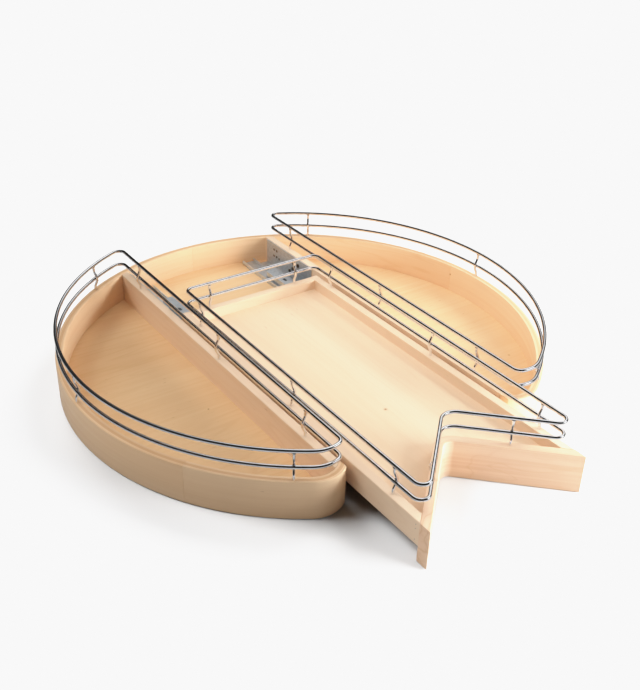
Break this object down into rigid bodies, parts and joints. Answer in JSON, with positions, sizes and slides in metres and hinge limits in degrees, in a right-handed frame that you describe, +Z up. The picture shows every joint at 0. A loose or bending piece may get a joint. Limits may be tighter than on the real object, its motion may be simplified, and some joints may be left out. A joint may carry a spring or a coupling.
{
  "type": "pull-out kidney shelf",
  "caption": "Round wooden corner-cabinet tray on a ball turntable, with a V-fronted drawer on full-extension slides between two D-shaped compartments, all with wire rails.",
  "frame": {"origin": "centre of the turntable's lower ring, on the surface that it is screwed to", "axes": "+Z up; the drawer pulls out along -Y; +X to the right of someone facing the drawer's front"},
  "size_m": [0.8128, 0.9141, 0.116],
  "materials": {
    "band_birch": "bent plywood, clear satin lacquer",
    "panel_birch": "birch plywood, clear satin lacquer",
    "solid_maple": "solid maple, clear satin lacquer",
    "chrome_wire": "polished chrome plate",
    "zinc_steel": "bright zinc plate",
    "turntable_steel": "zinc plate",
    "ball_steel": "ground steel balls",
    "screw_steel": "zinc plate",
    "clip_plastic": "moulded grey plastic"
  },
  "bodies": {
    "turntable_base": {"turntable_lower_ring": "turntable_steel"},
    "turntable_cage": {"turntable_ball_cage": "turntable_steel", "turntable_balls": "ball_steel"},
    "middle_left": {"slide_middle_member_left": "zinc_steel"},
    "lower_cage_left": {"slide_lower_cage_left": "zinc_steel", "slide_lower_balls_left": "ball_steel"},
    "upper_cage_left": {"slide_upper_cage_left": "zinc_steel", "slide_upper_balls_left": "ball_steel"},
    "middle_right": {"slide_middle_member_right": "zinc_steel"},
    "lower_cage_right": {"slide_lower_cage_right": "zinc_steel", "slide_lower_balls_right": "ball_steel"},
    "upper_cage_right": {"slide_upper_cage_right": "zinc_steel", "slide_upper_balls_right": "ball_steel"},
    "drawer": {"clip_screws": "screw_steel", "drawer_back": "solid_maple", "drawer_bottom": "panel_birch", "drawer_brads": "screw_steel", "drawer_front": "solid_maple", "drawer_rail_lower": "chrome_wire", "drawer_rail_posts": "chrome_wire", "drawer_rail_top": "chrome_wire", "drawer_side_left": "solid_maple", "drawer_side_right": "solid_maple", "locking_clip_left": "clip_plastic", "locking_clip_right": "clip_plastic", "slide_drawer_member_left": "zinc_steel", "slide_drawer_member_right": "zinc_steel"},
    "tray": {"band_left_back": "band_birch", "band_left_front": "band_birch", "band_right_back": "band_birch", "band_right_front": "band_birch", "base_panel": "panel_birch", "bracket_screws": "screw_steel", "divider_left": "solid_maple", "divider_right": "solid_maple", "divider_screws": "screw_steel", "rail_lower_left": "chrome_wire", "rail_lower_right": "chrome_wire", "rail_posts_left": "chrome_wire", "rail_posts_right": "chrome_wire", "rail_top_left": "chrome_wire", "rail_top_right": "chrome_wire", "slide_bracket_left": "zinc_steel", "slide_bracket_right": "zinc_steel", "slide_cabinet_member_left": "zinc_steel", "slide_cabinet_member_right": "zinc_steel", "slide_foot_left": "zinc_steel", "slide_foot_right": "zinc_steel", "slide_rivets_left": "screw_steel", "slide_rivets_right": "screw_steel", "turntable_screws": "screw_steel", "turntable_upper_ring": "turntable_steel"}
  },
  "joints": [
    {"name": "turntable_spin", "type": "hinge", "parent": "turntable_base", "child": "tray", "pos_m": [0, 0, 0], "axis": [0, 0, 1], "continuous": true},
    {"name": "turntable_cage_spin", "type": "hinge", "parent": "turntable_base", "child": "turntable_cage", "pos_m": [0, 0, 0], "axis": [0, 0, 1], "continuous": true},
    {"name": "drawer_slide", "type": "slide", "parent": "tray", "child": "drawer", "axis": [0, -1, 0], "range_m": [-0.1746, 0.2754]},
    {"name": "middle_left_slide", "type": "slide", "parent": "tray", "child": "middle_left", "axis": [0, -1, 0], "range_m": [-0.08735, 0.13775]},
    {"name": "lower_cage_left_slide", "type": "slide", "parent": "tray", "child": "lower_cage_left", "axis": [0, -1, 0], "range_m": [-0.0437, 0.0689]},
    {"name": "upper_cage_left_slide", "type": "slide", "parent": "tray", "child": "upper_cage_left", "axis": [0, -1, 0], "range_m": [-0.131, 0.2066]},
    {"name": "middle_right_slide", "type": "slide", "parent": "tray", "child": "middle_right", "axis": [0, -1, 0], "range_m": [-0.08735, 0.13775]},
    {"name": "lower_cage_right_slide", "type": "slide", "parent": "tray", "child": "lower_cage_right", "axis": [0, -1, 0], "range_m": [-0.0437, 0.0689]},
    {"name": "upper_cage_right_slide", "type": "slide", "parent": "tray", "child": "upper_cage_right", "axis": [0, -1, 0], "range_m": [-0.131, 0.2066]}
  ],
  "couplings": [
    {"joint": "turntable_cage_spin", "follows": "turntable_spin", "ratio": 0.5},
    {"joint": "middle_left_slide", "follows": "drawer_slide", "ratio": 0.5},
    {"joint": "lower_cage_left_slide", "follows": "drawer_slide", "ratio": 0.25},
    {"joint": "upper_cage_left_slide", "follows": "drawer_slide", "ratio": 0.75},
    {"joint": "middle_right_slide", "follows": "drawer_slide", "ratio": 0.5},
    {"joint": "lower_cage_right_slide", "follows": "drawer_slide", "ratio": 0.25},
    {"joint": "upper_cage_right_slide", "follows": "drawer_slide", "ratio": 0.75}
  ]
}
